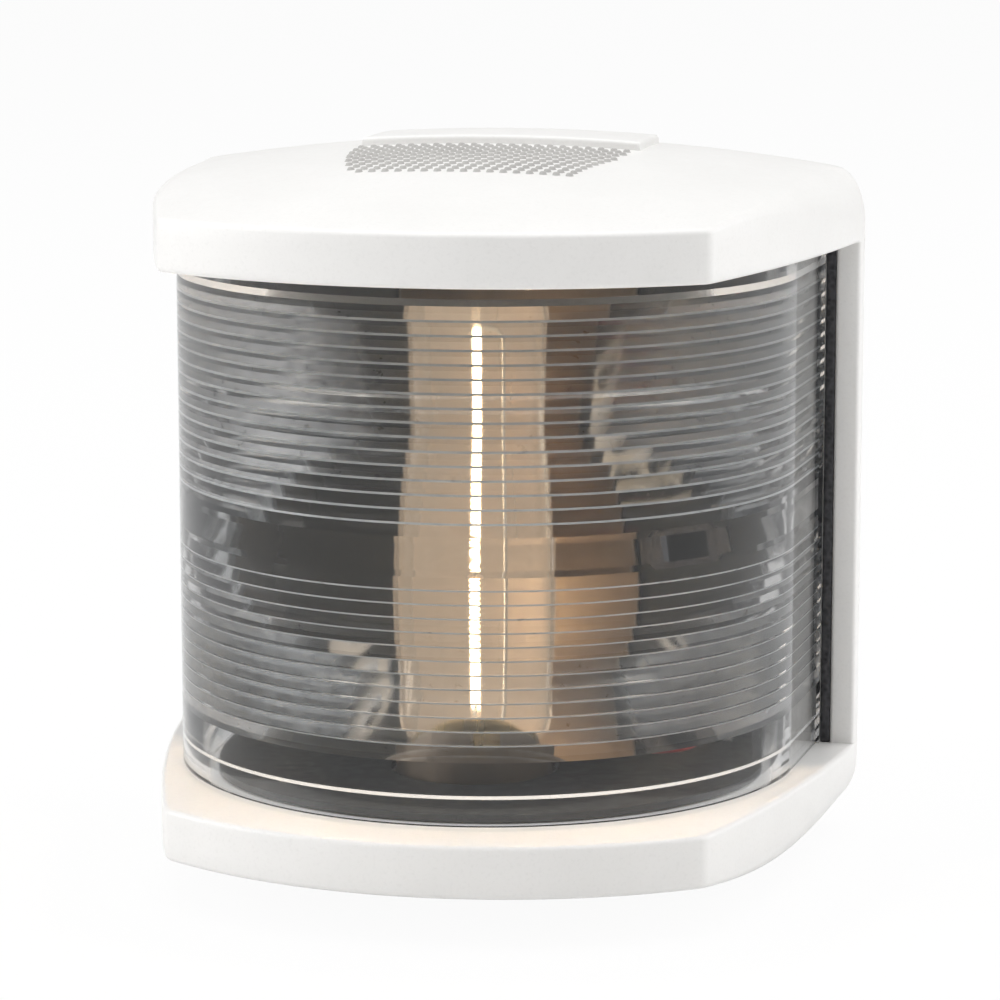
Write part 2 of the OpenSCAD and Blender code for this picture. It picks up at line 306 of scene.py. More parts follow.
class N:
    def __init__(self, nt):
        self.nt = nt

    def add(self, kind, **kw):
        n = self.nt.nodes.new(kind)
        for k, v in kw.items():
            if k.startswith("in_"):
                n.inputs[k[3:].replace("_", " ")].default_value = v
            else:
                setattr(n, k, v)
        return n

    def link(self, a, b):
        self.nt.links.new(a, b)

    def noise(self, scale, detail=3.0, rough=0.55, vec=None, dist=0.0):
        n = self.add("ShaderNodeTexNoise")
        n.inputs["Scale"].default_value = scale
        n.inputs["Detail"].default_value = detail
        n.inputs["Roughness"].default_value = rough
        n.inputs["Distortion"].default_value = dist
        if vec is not None:
            self.link(vec, n.inputs["Vector"])
        return n

    def ramp(self, src, stops):
        r = self.add("ShaderNodeValToRGB")
        el = r.color_ramp.elements
        while len(el) > 1:
            el.remove(el[-1])
        el[0].position, el[0].color = stops[0]
        for p, c in stops[1:]:
            e = el.new(p)
            e.color = c
        self.link(src, r.inputs["Fac"])
        return r

    def mix(self, a, b, fac, mode="MIX"):
        m = self.add("ShaderNodeMix", data_type="RGBA", blend_type=mode)
        for v, s in ((fac, 0), (a, 6), (b, 7)):
            if hasattr(v, "default_value") or hasattr(v, "is_output"):
                self.link(v, m.inputs[s])
            else:
                m.inputs[s].default_value = v
        return m.outputs[2]

    def maprange(self, src, a, b, c, d):
        m = self.add("ShaderNodeMapRange")
        self.link(src, m.inputs[0])
        for i, v in enumerate((a, b, c, d)):
            m.inputs[i + 1].default_value = v
        return m.outputs[0]

    def bump(self, src, strength, dist, normal=None):
        b = self.add("ShaderNodeBump")
        b.inputs["Strength"].default_value = strength
        b.inputs["Distance"].default_value = dist
        self.link(src, b.inputs["Height"])
        if normal is not None:
            self.link(normal, b.inputs["Normal"])
        return b.outputs["Normal"]


def coords(n):
    return n.add("ShaderNodeTexCoord").outputs["Object"]


def rgba(c, a=1.0):
    return (c[0], c[1], c[2], a)


def surface(name, col, col2, rough=(0.35, 0.5), scale=900.0, bump=0.12, bump_d=0.00006, metallic=0.0, coat=0.0,
            spec=0.5, wear=None, wear_amt=0.0, crevice_shade=None, crevice_shade_amt=0.0, stretch=None, sss=0.0):
    """A general procedural surface: two-scale colour variation, roughness variation, grain bump, edge wear, painted
    shade in corners and recesses.
    """
    m, nt, out = mat_new(name)
    n = N(nt)
    p = n.add("ShaderNodeBsdfPrincipled")
    n.link(p.outputs[0], out.inputs[0])
    vec = coords(n)
    v2 = vec
    if stretch:
        mp = n.add("ShaderNodeMapping")
        mp.inputs["Scale"].default_value = stretch
        n.link(vec, mp.inputs["Vector"])
        v2 = mp.outputs[0]
    big = n.noise(60.0, 4.0, 0.6, vec)
    fine = n.noise(scale, 3.0, 0.6, v2)
    c = n.mix(rgba(col), rgba(col2), n.maprange(big.outputs["Fac"], 0.35, 0.65, 0.0, 1.0))
    c = n.mix(c, rgba([x * 0.93 for x in col2]), n.maprange(fine.outputs["Fac"], 0.52, 0.75, 0.0, 0.5))
    r = n.maprange(n.noise(scale * 0.35, 4.0, 0.6, v2).outputs["Fac"], 0.3, 0.7, rough[0], rough[1])
    # painted shade: the colour is darkened where ambient occlusion finds corners and recesses
    if crevice_shade is not None:
        ao = n.add("ShaderNodeAmbientOcclusion", samples=4)
        ao.inputs["Distance"].default_value = 0.003
        d = n.maprange(ao.outputs["AO"], 0.35, 0.95, crevice_shade_amt, 0.0)
        c = n.mix(c, rgba(crevice_shade), d)
    if wear is not None:
        bv = n.add("ShaderNodeBevel", samples=4)
        bv.inputs["Radius"].default_value = 0.0006
        geo = n.add("ShaderNodeNewGeometry")
        dot = n.add("ShaderNodeVectorMath", operation="DOT_PRODUCT")
        n.link(bv.outputs[0], dot.inputs[0])
        n.link(geo.outputs["Normal"], dot.inputs[1])
        e = n.maprange(dot.outputs["Value"], 0.99, 0.80, 0.0, wear_amt)
        mul = n.add("ShaderNodeMath", operation="MULTIPLY")
        n.link(e, mul.inputs[0])
        n.link(n.maprange(n.noise(400, 4, 0.7, vec).outputs["Fac"], 0.35, 0.6, 0.15, 1.0), mul.inputs[1])
        c = n.mix(c, rgba(wear), mul.outputs[0])
    n.link(c, p.inputs["Base Color"])
    n.link(r, p.inputs["Roughness"])
    p.inputs["Metallic"].default_value = metallic
    p.inputs["Coat Weight"].default_value = coat
    p.inputs["Coat Roughness"].default_value = 0.12
    p.inputs["Specular IOR Level"].default_value = spec
    if sss > 0:
        p.inputs["Subsurface Weight"].default_value = sss
        p.inputs["Subsurface Radius"].default_value = (0.0012, 0.0010, 0.0008)
        p.inputs["Subsurface Scale"].default_value = 1.0
    n1 = n.bump(fine.outputs["Fac"], bump, bump_d)
    n2 = n.bump(big.outputs["Fac"], 0.06, 0.0004, n1)
    n.link(n2, p.inputs["Normal"])
    return m


WHITE = surface("shell_white", (0.86, 0.852, 0.838), (0.835, 0.828, 0.812), rough=(0.33, 0.46), scale=2600, bump=0.30, bump_d=0.00004,
                coat=0.05, wear=(0.93, 0.925, 0.91), wear_amt=0.5, crevice_shade=(0.55, 0.53, 0.50), crevice_shade_amt=0.22)
# the grip studs are the shell's white plastic coloured darker: painted shade standing in for the shade among the small
# studs
GRIP_PAINTED_SHADE = surface("shell_grip_painted_shade", (0.50, 0.49, 0.475), (0.44, 0.43, 0.42), rough=(0.45, 0.6), scale=2600, bump=0.35, bump_d=0.00004,
               crevice_shade=(0.30, 0.29, 0.27), crevice_shade_amt=0.4)
PLATE = surface("plate_white", (0.78, 0.77, 0.75), (0.74, 0.73, 0.71), rough=(0.45, 0.6), scale=1800, bump=0.25, bump_d=0.00005,
                crevice_shade=(0.4, 0.39, 0.37), crevice_shade_amt=0.35)
BLACK = surface("liner_black", (0.0095, 0.0110, 0.0118), (0.0145, 0.0165, 0.0175), rough=(0.50, 0.68), scale=2200, bump=0.3, bump_d=0.00005,
                crevice_shade=(0.03, 0.03, 0.03), crevice_shade_amt=0.2)
BRASS = surface("brass", (0.80, 0.60, 0.28), (0.70, 0.50, 0.22), rough=(0.16, 0.34), scale=900, bump=0.10, bump_d=0.00003, metallic=1.0,
                wear=(0.95, 0.82, 0.5), wear_amt=0.6, crevice_shade=(0.20, 0.13, 0.06), crevice_shade_amt=0.5, stretch=(1, 1, 0.12))
STEEL = surface("steel", (0.66, 0.67, 0.69), (0.56, 0.57, 0.59), rough=(0.18, 0.36), scale=1500, bump=0.10, bump_d=0.00002, metallic=1.0,
                wear=(0.9, 0.9, 0.9), wear_amt=0.6, crevice_shade=(0.12, 0.11, 0.10), crevice_shade_amt=0.5)
INSUL = surface("insulator", (0.62, 0.50, 0.33), (0.50, 0.38, 0.24), rough=(0.45, 0.65), scale=700, bump=0.25, bump_d=0.00005,
                crevice_shade=(0.2, 0.14, 0.08), crevice_shade_amt=0.4, stretch=(1, 1, 4))
TERM = surface("terminal_plastic", (0.74, 0.73, 0.69), (0.69, 0.68, 0.64), rough=(0.4, 0.55), scale=1500, bump=0.2, bump_d=0.00004,
               crevice_shade=(0.3, 0.28, 0.25), crevice_shade_amt=0.4)
RED = surface("lead_red", (0.50, 0.035, 0.03), (0.42, 0.025, 0.022), rough=(0.4, 0.58), scale=1100, bump=0.2, bump_d=0.00004,
              crevice_shade=(0.12, 0.01, 0.01), crevice_shade_amt=0.4)
BLK_LEAD = surface("lead_black", (0.03, 0.03, 0.032), (0.05, 0.05, 0.05), rough=(0.4, 0.6), scale=1100, bump=0.2, bump_d=0.00004)
VITRITE = surface("vitrite", (0.03, 0.02, 0.035), (0.05, 0.035, 0.05), rough=(0.1, 0.25), scale=500, bump=0.15, bump_d=0.00006)
SOLDER = surface("solder", (0.55, 0.55, 0.54), (0.42, 0.42, 0.41), rough=(0.3, 0.5), scale=700, bump=0.3, bump_d=0.00008, metallic=1.0,
                 crevice_shade=(0.1, 0.09, 0.08), crevice_shade_amt=0.4)


def foam_mat():
    m, nt, out = mat_new("seal_black")
    n = N(nt)
    p = n.add("ShaderNodeBsdfPrincipled")
    n.link(p.outputs[0], out.inputs[0])
    vec = coords(n)
    v = n.add("ShaderNodeTexVoronoi", feature="F1")
    v.inputs["Scale"].default_value = 1500
    n.link(vec, v.inputs["Vector"])
    f = n.noise(2500, 3, 0.6, vec)
    c = n.mix((0.012, 0.012, 0.014, 1), (0.05, 0.05, 0.055, 1), n.maprange(v.outputs["Distance"], 0.0, 0.6, 0.0, 1.0))
    n.link(c, p.inputs["Base Color"])
    n.link(n.maprange(f.outputs["Fac"], 0.3, 0.7, 0.62, 0.85), p.inputs["Roughness"])
    n1 = n.bump(v.outputs["Distance"], 0.6, 0.00025)
    n.link(n.bump(f.outputs["Fac"], 0.3, 0.00006, n1), p.inputs["Normal"])
    return m


FOAM = foam_mat()


def glass_mat(name, tint, ior, rough, haze=0.0, bump=0.03):
    m, nt, out = mat_new(name)
    n = N(nt)
    p = n.add("ShaderNodeBsdfPrincipled")
    vec = coords(n)
    p.inputs["Transmission Weight"].default_value = 1.0
    p.inputs["IOR"].default_value = ior
    f = n.noise(90, 4, 0.6, vec)
    c = n.mix(rgba(tint), rgba([x * 0.97 for x in tint]), n.maprange(f.outputs["Fac"], 0.35, 0.65, 0, 1))
    n.link(c, p.inputs["Base Color"])
    sc = n.noise(1400, 5, 0.7, vec)
    n.link(n.maprange(sc.outputs["Fac"], 0.55, 0.8, rough, rough + 0.10), p.inputs["Roughness"])
    n.link(n.bump(n.noise(160, 2, 0.5, vec).outputs["Fac"], bump, 0.0004), p.inputs["Normal"])
    n.link(p.outputs[0], out.inputs[0])
    return m


LENS = glass_mat("lens_clear", (0.955, 0.97, 0.985), 1.49, 0.045, bump=0.02)
def edge_mat():
    """The short faces of the rings: a fine moulded matt that catches the light."""
    m, nt, out = mat_new("lens_ring_edge")
    n = N(nt)
    p = n.add("ShaderNodeBsdfPrincipled")
    vec = coords(n)
    f = n.noise(700, 4, 0.6, vec)
    n.link(n.mix((0.72, 0.76, 0.78, 1), (0.86, 0.89, 0.90, 1), n.maprange(f.outputs["Fac"], 0.35, 0.65, 0, 1)), p.inputs["Base Color"])
    n.link(n.maprange(f.outputs["Fac"], 0.3, 0.7, 0.25, 0.5), p.inputs["Roughness"])
    # matt where the eye meets it first, clear for light that runs along inside the wall
    lp = n.add("ShaderNodeLightPath")
    deep = n.add("ShaderNodeMath", operation="GREATER_THAN")
    n.link(lp.outputs["Ray Depth"], deep.inputs[0])
    deep.inputs[1].default_value = 1.5
    tw = n.add("ShaderNodeMath", operation="MULTIPLY_ADD")
    n.link(deep.outputs[0], tw.inputs[0])
    tw.inputs[1].default_value = 0.42
    tw.inputs[2].default_value = 0.58
    n.link(tw.outputs[0], p.inputs["Transmission Weight"])
    p.inputs["IOR"].default_value = 1.3
    n.link(n.bump(f.outputs["Fac"], 0.15, 0.00005), p.inputs["Normal"])
    n.link(p.outputs[0], out.inputs[0])
    return m


LENS_EDGE = edge_mat()
BULB = glass_mat("bulb_glass", (1.0, 0.995, 0.985), 1.25, 0.0, bump=0.02)


def paint_glass_glow(m, col, s):
    """Painted glow: an emission on the lamp's glass that stands in for the lit lamp's light, as seen through its glass.
    """
    for nd in m.node_tree.nodes:
        if nd.type == "BSDF_PRINCIPLED":
            nd.inputs["Emission Color"].default_value = rgba(col)
            nd.inputs["Emission Strength"].default_value = s


# painted glow on the bulb glass (and the glass stem)
paint_glass_glow(BULB, (1.0, 0.74, 0.50), 0.09)
PLATED = surface("plated", (0.43, 0.335, 0.25), (0.34, 0.26, 0.19), rough=(0.26, 0.44), scale=900, bump=0.12, bump_d=0.00003, metallic=1.0,
                 wear=(0.85, 0.78, 0.68), wear_amt=0.6, crevice_shade=(0.16, 0.11, 0.07), crevice_shade_amt=0.5, stretch=(1, 1, 0.12))


def emit_mat(name, col, strength):
    m, nt, out = mat_new(name)
    n = N(nt)
    e = n.add("ShaderNodeEmission")
    vec = coords(n)
    w = n.add("ShaderNodeTexWave", bands_direction="Z")
    w.inputs["Scale"].default_value = 1200
    w.inputs["Distortion"].default_value = 1.0
    n.link(vec, w.inputs["Vector"])
    c = n.mix(rgba(col), rgba((1.0, 0.86, 0.62)), w.outputs["Fac"])
    n.link(c, e.inputs["Color"])
    n.link(n.maprange(w.outputs["Fac"], 0, 1, strength * 0.6, strength), e.inputs["Strength"])
    n.link(e.outputs[0], out.inputs[0])
    return m


FIL = emit_mat("filament", (1.0, 0.62, 0.28), 260.0)

# ------------------------------------------------------------------ shroud shell
C0 = (0.0, -24.0)
OUT = outline(0.0)
NO = len(OUT)


def edge_radius(x, y):
    """Radius of the edge between the upright band and the crown, at an outline point."""
    t = smooth((y - CORNER_Y) / (-8.0 - CORNER_Y)) if abs(x) > 0.5 * FRONT_HALF or y > -30 else 0.0
    if y < CORNER_Y + 0.3:
        t = 0.0
    r = lerp(0.75, 6.4, t ** 1.25)
    if y > -7.3:
        # round the rear corner and flatten out to a small radius along the back
        k = smooth((y + 7.3) / 6.9)
        r = lerp(r, 1.3, k)
    return r


def cap_rings(sign, inset=0.0, z_low=IN, foot=0.55):
    rings = []
    pts = outline(inset)

    def at(p, d):
        return p[0] - p[2] * d, p[1] - p[3] * d

    # flat underside, from the middle outwards
    for s in (0.0, 0.35, 0.7, 0.9):
        rings.append([(lerp(C0[0], at(p, foot)[0], s), lerp(C0[1], at(p, foot)[1], s), z_low) for p in pts])
    # lower edge, rounded ahead of the uprights
    for k in range(5):
        a = math.radians(90 * k / 4)
        ring = []
        for p in pts:
            g = foot * (1 - smooth((p[1] + 10.5) / 1.5)) if foot > 0.1 else 0.02
            g = max(g, 0.02)
            d = g * (1 - math.sin(a))
            x, y = at(p, d)
            ring.append((x, y, z_low + g * (1 - math.cos(a))))
        rings.append(ring)
    # band and top edge
    data = []
    for p in pts:
        e = 0.3
        ze = dome(p[0], p[1], inset)
        x1, y1 = at(p, e)
        tb = (dome(x1, y1, inset) - ze) / e
        f = max(edge_radius(p[0], p[1]) - inset, 0.6)
        # the crown flattens above a wide edge, so the slope is taken across it
        x1, y1 = at(p, f)
        tb = (dome(x1, y1, inset) - ze) / f
        beta = math.atan(tb)
        zc = ze + f * tb - f / math.cos(beta)
        data.append((p, f, beta, zc))
    for s in (0.0, 0.33, 0.66):
        rings.append([(p[0], p[1], lerp(z_low + foot + 0.4, zc, s)) for p, f, b, zc in data])
    nf = 10
    for k in range(1, nf + 1):
        ring = []
        for p, f, b, zc in data:
            a = (math.pi / 2 - b) * k / nf
            x, y = at(p, f - f * math.cos(a))
            ring.append((x, y, zc + f * math.sin(a)))
        rings.append(ring)
    last = rings[-1]
    ns = 26
    for j in range(1, ns + 1):
        s = 1 - j / ns
        ring = []
        for q in last:
            x, y = lerp(C0[0], q[0], s), lerp(C0[1], q[1], s)
            dz = q[2] - dome(q[0], q[1], inset)
            ring.append((x, y, dome(x, y, inset) + dz * s ** 6))
        rings.append(ring)
    return [[(x, y, sign * z) for x, y, z in r] for r in rings]


def solid_from(rings, name, mats, sharp=35.0):
    v, f = rings_to_mesh(rings)
    return new_obj(name, v, f, mats, sharp)


def round_rect_pts(hx, hz, r, n=8):
    pts = []
    for cx, cz, a in ((hx - r, hz - r, 0), (-(hx - r), hz - r, 90), (-(hx - r), -(hz - r), 180), (hx - r, -(hz - r), 270)):
        for i in range(n + 1):
            t = math.radians(a + 90 * i / n)
            pts.append((cx + r * math.cos(t), cz + r * math.sin(t)))
    return pts


def recess_cutter():
    pts = round_rect_pts(REC_X, 36, 4.5)
    v, f = rings_to_mesh([[(x, -4.05, z) for x, z in pts], [(x, 5, z) for x, z in pts]], cap_start=True, cap_end=True)
    return new_obj("cut", v, f)


def cavity_cutter(sign):
    rings = cap_rings(sign, inset=3.4, z_low=IN + 2.6, foot=0.02)
    o = solid_from(rings, "cut", None)
    return o


def plain_box(lo, hi):
    v = [(x, y, z) for x in (lo[0], hi[0]) for y in (lo[1], hi[1]) for z in (lo[2], hi[2])]
    f = [(0, 1, 3, 2), (4, 6, 7, 5), (0, 4, 5, 1), (2, 3, 7, 6), (0, 2, 6, 4), (1, 5, 7, 3)]
    return new_obj("cut", v, f)


def cyl(name, x, y, z0, z1, r, mats=None, n=48):
    ring = [(x + r * math.cos(2 * math.pi * i / n), y + r * math.sin(2 * math.pi * i / n)) for i in range(n)]
    v, f = rings_to_mesh([[(a, b, z0) for a, b in ring], [(a, b, z1) for a, b in ring]], cap_start=True, cap_end=True)
    return new_obj(name, v, f, mats)


def make_cap(sign, name):
    o = solid_from(cap_rings(sign), name, WHITE)
    z0, z1 = IN + 2.6, 35.0
    cut = [recess_cutter(), cavity_cutter(sign)]
    cut.append(plain_box((-REC_X, -12, min(sign * z0, sign * z1)), (REC_X, -3, max(sign * z0, sign * z1))))
    if sign < 0:
        cut.append(cyl("cut", 0, SCREW_Y, -50, -38, 3.1))
        cut.append(cyl("cut", 0, SCREW_Y, -50, -34, 1.7))
    boolean(o, cut)
    shade(o, 33)
    return o


def upright(side):
    """The side pillar: the outline behind the front opening, with its inner front edge eased."""
    inner, front = WIN_X, -9.0
    pts = [p for p in OUT if p[0] * side > REC_X and p[1] > front]
    pts.sort(key=lambda p: p[1])
    outer = [(p[0], p[1]) for p in pts]
    xo = [p for p in OUT if p[0] * side > inner and p[1] <= front]
    xo.sort(key=lambda p: p[1])
    q = xo[-1]
    e = 0.45
    path = []
    path += [(side * REC_X, BACK_Y), (side * REC_X, -4.05), (side * inner, -4.05), (side * inner, front + e)]
    for i in range(1, 5):
        a = math.radians(90 * i / 4)
        path.append((side * (inner + e * (1 - math.cos(a))), front + e * (1 - math.sin(a))))
    for i in range(0, 5):
        a = math.radians(90 * i / 4)
        path.append((side * (abs(q[0]) - e * (1 - math.sin(a))), front + e * (1 - math.cos(a))))
    path += outer[1:]
    path = [p for i, p in enumerate(path) if i == 0 or math.hypot(p[0] - path[i - 1][0], p[1] - path[i - 1][1]) > 0.02]
    zs = [-IN - 0.15, -IN * 0.5, 0, IN * 0.5, IN + 0.15]
    v, f = rings_to_mesh([[(x, y, z) for x, y in path] for z in zs], cap_start=True, cap_end=True)
    o = new_obj("upright", v, f, WHITE, 35)
    return o


cap = make_cap(1, "cap")
base = make_cap(-1, "basepan")
boss = revolve("boss", round_prof([(2.2, -31.0), (2.2, -33.2), (4.0, -33.2), (4.0, -31.0)], 0.25), WHITE, 0, SCREW_Y, 48)

# thumb pad at the back of the crown: a raised patch with eased edges, and rows of grip studs ahead of it


def pad():
    x1, y0, y1, h, e = 15.7, -16.5, -3.3, 0.95, 0.45
    nx, ny = 60, 24
    verts, faces = [], []

    def steps(a, b, n):
        inner = [lerp(a + e, b - e, i / n) for i in range(n + 1)]
        lead = [a + e * (1 - math.cos(math.radians(t))) for t in (0, 22.5, 45, 67.5)]
        tail = [b - e * (1 - math.cos(math.radians(t))) for t in (67.5, 45, 22.5, 0)]
        return lead + inner + tail

    xs, ys = steps(-x1, x1, nx), steps(y0, y1, ny)

    def edge(v, a, b):
        d = min(v - a, b - v)
        if d >= e:
            return 0.0
        return e - math.sqrt(max(e * e - (e - d) ** 2, 0))

    for y in ys:
        for x in xs:
            drop = max(edge(x, -x1, x1), edge(y, y0, y1))
            verts.append((x, y, dome(x, y) + h - drop))
    W = len(xs)
    for j in range(len(ys) - 1):
        for i in range(W - 1):
            faces.append((j * W + i, j * W + i + 1, (j + 1) * W + i + 1, (j + 1) * W + i))
    rim = [i for i in range(W)] + [j * W + W - 1 for j in range(1, len(ys))] + [(len(ys) - 1) * W + i for i in range(W - 2, -1, -1)] + [j * W for j in range(len(ys) - 2, 0, -1)]
    base_i = len(verts)
    for k in rim:
        x, y, z = verts[k]
        verts.append((x, y, dome(x, y) - 0.6))
    m = len(rim)
    for k in range(m):
        a, b = rim[k], rim[(k + 1) % m]
        faces.append((a, base_i + k, base_i + (k + 1) % m, b))
    faces.append(tuple(base_i + k for k in range(m)))
    return new_obj("pad", verts, faces, WHITE, 40)


def studs():
    verts, faces = [], []
    rows, pitch = 14, 1.42
    y_start = -18.9
    for j in range(rows):
        y = y_start - j * pitch
        half = 15.2 - 0.02 * j * j
        n = int(2 * half / pitch)
        for i in range(n + 1):
            x = -half + i * pitch + (pitch / 2 if j % 2 else 0)
            if x > half:
                continue
            r, h = 0.40, 0.36
            zb = dome(x, y) - 0.04
            b = len(verts)
            seg = 10
            prof = [(r * 1.25, 0.0), (r, 0.08), (r * 0.86, h * 0.72), (r * 0.5, h * 0.96)]
            for rr, hh in prof:
                for k in range(seg):
                    t = 2 * math.pi * k / seg
                    verts.append((x + rr * math.cos(t), y + rr * math.sin(t), zb + hh))
            verts.append((x, y, zb + h))
            for q in range(len(prof) - 1):
                for k in range(seg):
                    k2 = (k + 1) % seg
                    faces.append((b + q * seg + k, b + q * seg + k2, b + (q + 1) * seg + k2, b + (q + 1) * seg + k))
            top = b + len(prof) * seg
            lastr = b + (len(prof) - 1) * seg
            for k in range(seg):
                faces.append((lastr + k, lastr + (k + 1) % seg, top))
            faces.append(tuple(b + k for k in range(seg))[::-1])
    return new_obj("studs", verts, faces, GRIP_PAINTED_SHADE, 60)


shell = join([cap, base, boss, upright(1), upright(-1), pad(), studs()], "shroud_shell")
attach(shell, "shroud")
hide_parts("housing")

# ------------------------------------------------------------------ lens
def lens_profile():
    """Closed profile, and the places in it where a ring's short face starts."""
    R, W = LENS_R, 2.2
    pts = [(R - 2.0, -29.6), (R - 0.15, -29.6), (R, -29.45), (R, 29.45), (R - 0.15, 29.6), (R - 2.0, 29.6), (R - 2.0, 28.5), (R - W - 0.5, 28.5), (R - W - 0.5, 26.7)]
    up, dn, pitch, ru, rd, lip = 2.0, -2.2, 1.5, 16, 13, LIP
    short = []
    for i in range(ru - 1, -1, -1):
        z0 = up + i * pitch
        pts.append((R - W, z0 + pitch - (lip if i < ru - 1 else 0.0)))
        pts.append((R - W - min(0.35 + 0.045 * z0, 0.88), z0))
        if i:
            short.append(len(pts) - 1)
    # centre belt: slightly convex
    for k in range(1, 6):
        z = lerp(up, dn, k / 6)
        pts.append((R - W - 0.34 - 0.12 * math.sin(math.pi * k / 6), z))
    for i in range(rd):
        z0 = dn - i * pitch
        d = min(0.30 + 0.080 * -z0, 1.25)
        pts.append((R - W - d, z0))
        pts.append((R - W, z0 - pitch + (0.20 + 0.12 * d if i < rd - 1 else 0.0)))
        if i < rd - 1:
            short.append(len(pts) - 1)
    pts += [(R - W, -25.2), (R - W - 0.7, -25.7), (R - W - 0.7, -28.5), (R - 2.0, -28.5)]
    return pts, short


LIP = 0.17


def make_lens():
    prof, short = lens_profile()
    cs, sn = math.cos(FLARE), math.sin(FLARE)

    def side(s, t):
        col = []
        for r, z in prof:
            end = (LENS_BACK - LENS_Y + r * sn) / cs
            col.append((s * (r * cs + t * end * sn), LENS_Y - r * sn + t * end * cs, z))
        return col

    cols = [side(-1, 1 - k / 6) for k in range(6)]
    seg = 172
    for i in range(seg + 1):
        t = lerp(math.pi + FLARE, 2 * math.pi - FLARE, i / seg)
        cols.append([(r * math.cos(t), LENS_Y + r * math.sin(t), z) for r, z in prof])
    cols += [side(1, k / 6) for k in range(1, 7)]
    v, f = rings_to_mesh(cols, closed_ring=True, cap_start=True, cap_end=True)
    o = new_obj("lens_prism", v, f, LENS, 6.0)
    o.data.materials.append(LENS_EDGE)
    n = len(prof)
    marks = set(short)
    for p in o.data.polygons:
        if len(p.vertices) == 4:
            rows = sorted({i % n for i in p.vertices})
            if len(rows) == 2 and rows[1] - rows[0] == 1 and rows[0] in marks:
                p.material_index = 1
    return o


lens = make_lens()
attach(lens, "shroud")
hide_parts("lens")
lens.visible_shadow = False
lens.visible_diffuse = False

# ------------------------------------------------------------------ seals
a, b = box_mm("side_seals")
strips = []
for s in (-1, 1):
    lo = (min(s * 35.6, s * 36.7), a[1], a[2])
    hi = (max(s * 35.6, s * 36.7), b[1], b[2])
    strips.append(bevel_box("s", lo, hi, FOAM, 0.25, 3))
seals = join(strips, "foam_strips")
sub = seals.modifiers.new("sub", "SUBSURF")
sub.subdivision_type = "SIMPLE"
sub.levels = sub.render_levels = 0
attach(seals, "shroud")
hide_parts("side_seals")

# ------------------------------------------------------------------ lamp
cy = LAMP_Y
gr = (G_HI[0] - G_LO[0]) / 2
zt = G_HI[2]
zn = G_LO[2]
outer = [(6.75, zn), (6.9, zn + 0.3), (6.9, zn + 2.0)] + [(lerp(6.9, gr, smooth(k / 10)), lerp(zn + 2.1, zn + 5.6, k / 10)) for k in range(1, 11)]
outer += [(gr, z) for z in (-4, 0, 4, 8)] + arc(0, zt - gr, gr, 0, 90, 24)
outer[-1] = (0.0, zt)
inner = []
for k in range(25):
    t = math.radians(90 - 90 * k / 24)
    inner.append(((gr - 0.55) * math.cos(t) if k else 0.0, zt - gr + (gr - 0.55) * math.sin(t)))
inner += [(gr - 0.55, z) for z in (8, 4, 0, -4)] + [(lerp(gr - 0.55, 6.35, smooth(k / 10)), lerp(zn + 5.6, zn + 2.1, k / 10)) for k in range(0, 11)] + [(6.3, zn)]
glass = revolve("lamp_glass", outer + inner + [outer[0]], BULB, 0, cy, 128, 45)
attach(glass, "bulb")
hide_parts("bulb_glass")
glass.visible_shadow = False
glass.visible_diffuse = False

capm = revolve("lamp_cap", round_prof([(7.05, -11.1), (7.2, -10.98), (7.5, -11.2), (7.5, -12.6), (7.28, -12.85), (7.28, -13.2), (7.5, -13.45), (7.5, -20.4), (7.0, -21.0), (6.6, -21.0), (6.6, -20.6), (7.05, -20.2), (7.05, -11.1)], 0.18), BRASS, 0, cy, 96)
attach(capm, "bulb")
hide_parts("bulb_cap")

stem_prof = [(0.0, -12.6), (4.6, -12.6), (4.4, -11.9), (3.1, -11.0), (2.1, -10.2), (1.6, -9.3), (1.3, -8.5), (0.8, -7.75), (0.0, -7.52)]
stem = revolve("lamp_stem", round_prof(stem_prof, 0.3), BULB, 0, cy, 64, 60)
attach(stem, "bulb")
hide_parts("bulb_stem")
stem.visible_shadow = False
stem.visible_diffuse = False

# support wires: one straight up to the coil, one beside it and over its top
f_lo, f_hi = box_mm("bulb_filament")
w1 = tube("w1", [(0, cy, -7.8), (0, cy, -7.2), (0, cy, f_lo[2] + 0.25)], 0.2, SOLDER, 14)
wt = f_hi[2] + 0.25
pts = [(2.6, cy, -11.2), (3.0, cy, -9.0), (3.4, cy, -6.5), (3.4, cy, 0.0), (3.4, cy, wt - 1.2)]
pts += [(3.4 - 1.2 * (1 - math.cos(math.radians(t))), cy, wt - 1.2 + 1.2 * math.sin(math.radians(t))) for t in range(15, 91, 15)]
pts += [(1.2, cy, wt), (0.0, cy, wt)]
w2 = tube("w2", pts, 0.2, SOLDER, 14)
wires = join([w1, w2], "lamp_wires")
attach(wires, "bulb")
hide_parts("bulb_wires")


def coil(name, x, y, z0, z1, R, r, turns, mat, per=18, segs=8, flat=0.0):
    pts = []
    n = int(turns * per)
    for i in range(n + 1):
        t = i / n
        a = 2 * math.pi * turns * t
        e = 1.0
        pts.append((x + R * math.cos(a) * e, y + R * math.sin(a) * e, lerp(z0, z1, t)))
    return tube(name, pts, r, mat, segs)


fil = coil("lamp_coil", 0, cy, f_lo[2] + 0.15, f_hi[2] - 0.15, 0.42, 0.17, 26, FIL)
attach(fil, "bulb")
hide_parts("bulb_filament")

pins = []
for s in (1, -1):
    prof = round_prof([(0.0, 0.0), (1.0, 0.0), (1.0, 1.6), (0.0, 1.6)], 0.25)
    o = revolve("p", prof, BRASS, 0, 0, 40)
    o.data.transform(Matrix.Translation((0, cy * MM + s * 7.5 * MM, -15.5 * MM)) @ Matrix.Rotation(-s * math.pi / 2, 4, "X"))
    pins.append(o)
pins = join(pins, "lamp_pins")
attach(pins, "bulb")
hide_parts("bulb_pins")

